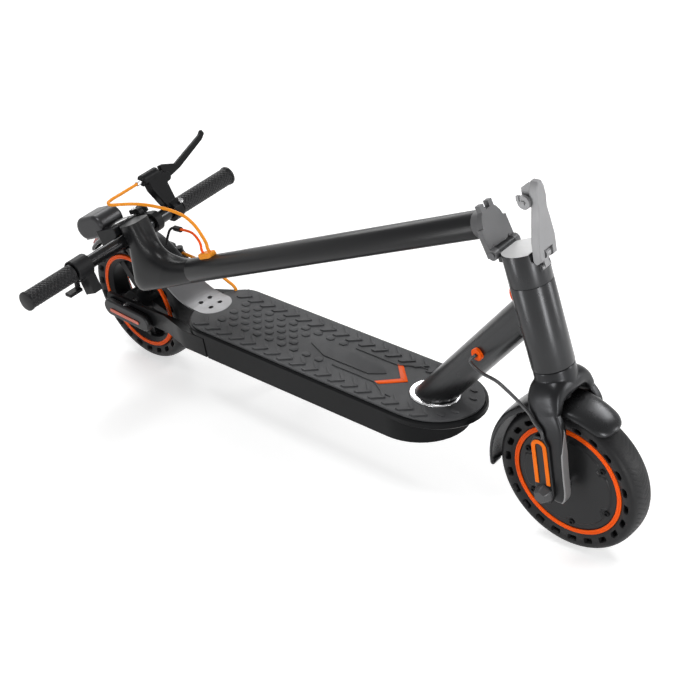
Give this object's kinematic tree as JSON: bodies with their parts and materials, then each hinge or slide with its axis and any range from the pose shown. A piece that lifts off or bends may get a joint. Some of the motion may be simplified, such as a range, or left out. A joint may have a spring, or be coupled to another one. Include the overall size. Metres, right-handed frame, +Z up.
{
  "type": "folding electric kick scooter",
  "caption": "Folding electric kick scooter, shown folded: the stem lies back over the deck, with a front motor wheel, rear disc brake, side stand and a lever-locked fold.",
  "frame": {"origin": "bottom centre of the bounding box, on the ground under the deck", "axes": "+X forward (towards the front wheel), +Y to the rider's left, +Z up"},
  "size_m": [1.0768, 0.4226, 0.5176],
  "materials": {
    "black_paint": "semi-gloss black powder coat over aluminium alloy",
    "satin_black": "satin black powder coat over aluminium alloy",
    "black_steel": "satin black paint over steel",
    "grey_metal": "fine-blasted grey",
    "steel": "bright, lightly brushed",
    "tyre_rubber": "matt, moulded tread",
    "soft_rubber": "matt",
    "mat_rubber": "matt, raised bars",
    "black_plastic": "semi-gloss moulded",
    "dull_plastic": "fine texture",
    "orange_plastic": "satin orange",
    "amber_sleeve": "satin light orange",
    "salmon_strip": "soft, reflective",
    "red_lens": "clear red",
    "dark_lens": "polished dark",
    "battery_wrap": "shrink wrap round metal-cased cells",
    "copper": "enamelled copper windings on a steel core",
    "motor_alloy": "semi-gloss black coat over cast alloy"
  },
  "bodies": {
    "frame": {"deck_body": "black_paint", "bottom_cover": "satin_black", "deck_mat": "mat_rubber", "battery_pack": "battery_wrap", "neck_and_head_tube": "black_paint", "neck_collar": "steel", "headset_sleeve": "steel", "neck_grommet": "orange_plastic", "rear_arm_left": "black_paint", "rear_arm_right": "black_paint", "rear_axle": "steel", "axle_cover_left": "black_plastic", "axle_cover_right": "black_plastic", "rear_reflector": "salmon_strip", "brake_caliper": "satin_black", "rear_brake_cable": "amber_sleeve", "rear_fender": "black_paint", "tail_light": "red_lens", "kickstand_bracket": "black_steel", "motor_cable": "soft_rubber"},
    "front_assembly": {"fork": "black_steel", "fork_cover_left": "black_plastic", "fork_cover_right": "black_plastic", "fork_reflector": "orange_plastic", "front_fender": "black_paint", "front_axle": "steel", "motor_stator": "copper", "fold_base": "black_steel", "hinge_pin": "steel", "lock_bolt": "grey_metal"},
    "front_wheel": {"front_tyre": "tyre_rubber", "front_rim_liner": "orange_plastic", "motor_hub": "motor_alloy", "motor_cover": "motor_alloy"},
    "rear_wheel": {"rear_tyre": "tyre_rubber", "rear_rim_liner": "orange_plastic", "rear_rim": "satin_black", "brake_disc": "steel"},
    "stem": {"stem_base": "grey_metal", "stem_tube": "satin_black", "cable_grommet": "amber_sleeve", "handlebar": "black_paint", "grip_right": "soft_rubber", "grip_left": "soft_rubber", "display_pod": "black_plastic", "display": "dark_lens", "headlight": "dark_lens", "throttle_housing": "dull_plastic", "brake_perch": "satin_black", "bell_base": "dull_plastic", "brake_cable": "amber_sleeve", "lamp_cable": "orange_plastic"},
    "lock_lever": {"lock_lever": "grey_metal"},
    "safety_catch": {"safety_catch": "grey_metal"},
    "throttle": {"throttle_paddle": "dull_plastic"},
    "brake_lever": {"brake_lever": "satin_black"},
    "bell_lever": {"bell_lever": "dull_plastic"},
    "power_button": {"power_button": "orange_plastic"},
    "kickstand": {"kickstand_leg": "black_steel"},
    "charge_cap": {"charge_cap": "soft_rubber"}
  },
  "joints": [
    {"name": "steering", "type": "hinge", "parent": "frame", "child": "front_assembly", "pos_m": [0.41968, 0.07179, 0.26145], "axis": [-0.1668, 0, 0.986], "range_deg": [-50.6, 39.4], "deforming": ["motor_cable"]},
    {"name": "front_wheel_spin", "type": "hinge", "parent": "front_assembly", "child": "front_wheel", "pos_m": [0.43414, 0.07061, 0.1037], "axis": [-0.0962, 0.9952, -0.0163], "continuous": true},
    {"name": "rear_wheel_spin", "type": "hinge", "parent": "frame", "child": "rear_wheel", "pos_m": [-0.43491, 0.07179, 0.10369], "axis": [0, 1, 0], "continuous": true},
    {"name": "stem_fold", "type": "hinge", "parent": "front_assembly", "child": "stem", "pos_m": [0.36459, 0.069, 0.41643], "axis": [-0.0962, 0.9952, -0.0163], "range_deg": [0, 100.1]},
    {"name": "lock_lever_swing", "type": "hinge", "parent": "front_assembly", "child": "lock_lever", "pos_m": [0.42414, 0.07486, 0.42245], "axis": [-0.0962, 0.9952, -0.0163], "range_deg": [0, 85]},
    {"name": "safety_catch_turn", "type": "hinge", "parent": "lock_lever", "child": "safety_catch", "pos_m": [0.41126, 0.07475, 0.49217], "axis": [-0.0962, 0.9952, -0.0163], "range_deg": [0, 60]},
    {"name": "throttle_turn", "type": "hinge", "parent": "stem", "child": "throttle", "pos_m": [-0.31447, -0.11545, 0.27932], "axis": [-0.0962, 0.9952, -0.0163], "range_deg": [0, 18], "stiffness_Nm_per_rad": 0.2},
    {"name": "brake_lever_pull", "type": "hinge", "parent": "stem", "child": "brake_lever", "pos_m": [-0.35183, 0.09768, 0.32253], "axis": [-0.9368, -0.0961, -0.3363], "range_deg": [0, 24], "stiffness_Nm_per_rad": 1.2},
    {"name": "bell_lever_flick", "type": "hinge", "parent": "stem", "child": "bell_lever", "pos_m": [-0.34769, 0.0353, 0.29314], "axis": [-0.0962, 0.9952, -0.0163], "range_deg": [0, 20], "stiffness_Nm_per_rad": 0.05},
    {"name": "power_button_press", "type": "slide", "parent": "stem", "child": "power_button", "axis": [-0.3363, -0.0171, 0.9416], "range_m": [0, 0.0015], "stiffness_N_per_m": 300},
    {"name": "kickstand_swing", "type": "hinge", "parent": "frame", "child": "kickstand", "pos_m": [-0.16691, 0.12879, 0.07969], "axis": [0, 0.829, 0.5592], "range_deg": [0, 90]},
    {"name": "charge_cap_hinge", "type": "hinge", "parent": "frame", "child": "charge_cap", "pos_m": [0.12509, 0.13829, 0.10269], "axis": [-1, 0, 0], "range_deg": [0, 90]}
  ]
}
